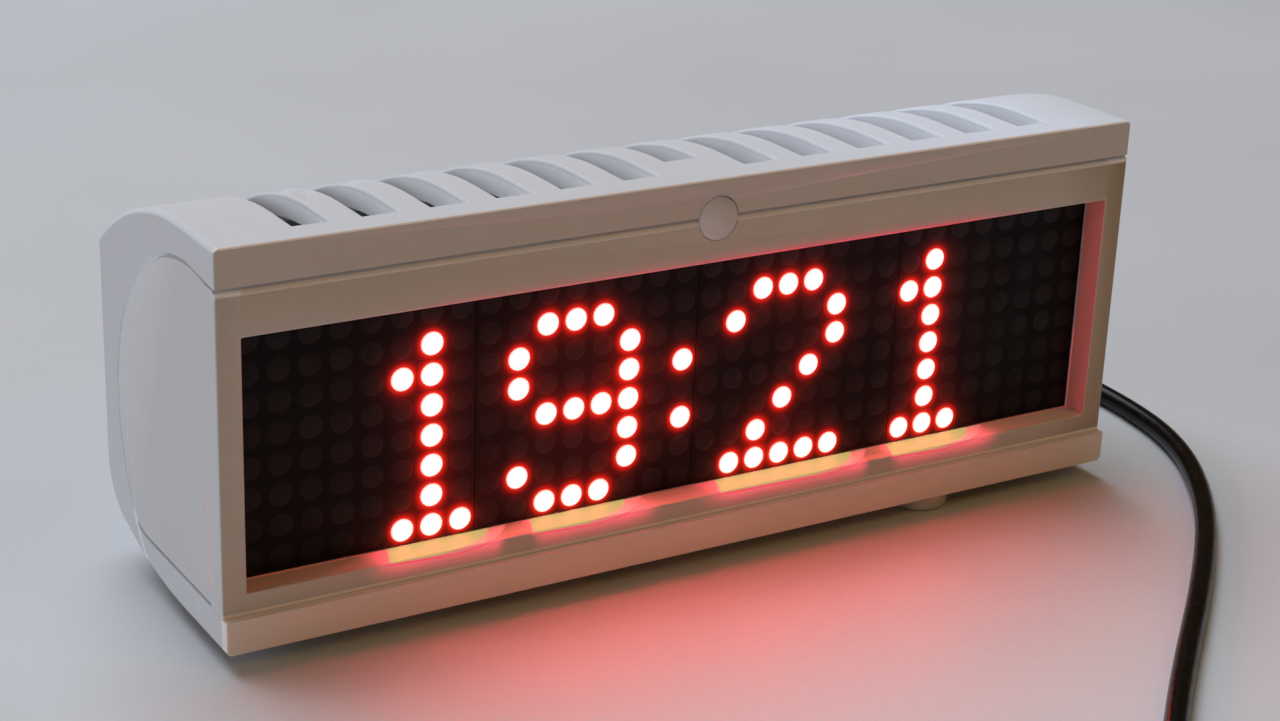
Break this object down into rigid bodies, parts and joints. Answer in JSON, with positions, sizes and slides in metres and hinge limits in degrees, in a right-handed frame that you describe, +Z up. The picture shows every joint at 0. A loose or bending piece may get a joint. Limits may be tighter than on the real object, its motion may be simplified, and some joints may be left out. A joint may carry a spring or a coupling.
{
  "type": "led dot matrix clock",
  "caption": "Desk clock with a wide red LED dot matrix display in a white printed case with a slotted curved hood, a push button and a USB lead.",
  "frame": {"origin": "on the surface that the clock stands on, under the middle of its case", "axes": "+X along the display to the reader's right, -Y out of the display, +Z up"},
  "size_m": [0.1782, 0.2315, 0.0529],
  "materials": {
    "shell_print": "white printed plastic, fine layer lines",
    "frame_print": "white printed plastic, fine layer lines",
    "button_print": "white printed plastic, smooth dome",
    "matrix_black": "matte black printed face",
    "dot_lit": "lit red, nearly white at the core",
    "dot_dark": "unlit smoky epoxy",
    "socket_black": "black moulded nylon",
    "board_blue": "blue solder mask",
    "board_green": "green solder mask",
    "chip_black": "moulded black package",
    "steel": "plain zinc plated",
    "can_steel": "stamped shielding can",
    "switch_black": "black nylon",
    "plunger_ivory": "ivory nylon",
    "lead_sleeve": "soft lead insulation",
    "ribbon_sleeve": "grey ribbon insulation",
    "foot_rubber": "pale soft rubber",
    "cord_black": "black soft sleeve",
    "plug_black": "black moulded grip"
  },
  "bodies": {
    "case": {"front_frame": "frame_print", "rear_shell": "shell_print", "matrix_module_1": "matrix_black", "matrix_module_2": "matrix_black", "matrix_module_3": "matrix_black", "matrix_module_4": "matrix_black", "lit_dots": "dot_lit", "dim_dots": "dot_dark", "module_sockets": "socket_black", "display_board": "board_green", "driver_chips": "chip_black", "pin_headers": "socket_black", "display_ribbon": "ribbon_sleeve", "button_switch": "switch_black", "button_board": "board_green", "button_board_screws": "steel", "button_leads": "lead_sleeve", "controller_board": "board_blue", "controller_screws": "steel", "radio_module": "board_blue", "radio_can": "can_steel", "reset_switch": "switch_black", "power_board": "board_green", "power_board_screws": "steel", "power_socket": "can_steel", "power_leads": "lead_sleeve", "shell_screws": "steel", "foot_front_right": "foot_rubber", "foot_front_left": "foot_rubber", "foot_rear_right": "foot_rubber", "foot_rear_left": "foot_rubber", "micro_plug_shell": "can_steel", "micro_plug": "plug_black", "cord_relief": "plug_black", "cord": "cord_black", "cord_coil": "cord_black", "cord_tail": "cord_black", "host_plug": "plug_black", "host_plug_shell": "can_steel"},
    "front_button": {"front_button": "button_print"},
    "switch_plunger": {"button_plunger": "plunger_ivory"},
    "reset_button": {"reset_button": "plunger_ivory"}
  },
  "joints": [
    {"name": "button_press", "type": "slide", "parent": "case", "child": "front_button", "axis": [0, 1, 0], "range_m": [0, 0.0005], "stiffness_N_per_m": 400, "springref_m": -0.001},
    {"name": "plunger_press", "type": "slide", "parent": "case", "child": "switch_plunger", "axis": [0, 1, 0], "range_m": [0, 0.0005], "stiffness_N_per_m": 100, "springref_m": -0.001},
    {"name": "reset_press", "type": "slide", "parent": "case", "child": "reset_button", "axis": [0, 1, 0], "range_m": [0, 0.0003], "stiffness_N_per_m": 300, "springref_m": -0.001}
  ],
  "couplings": [
    {"joint": "plunger_press", "follows": "button_press", "ratio": 1}
  ]
}
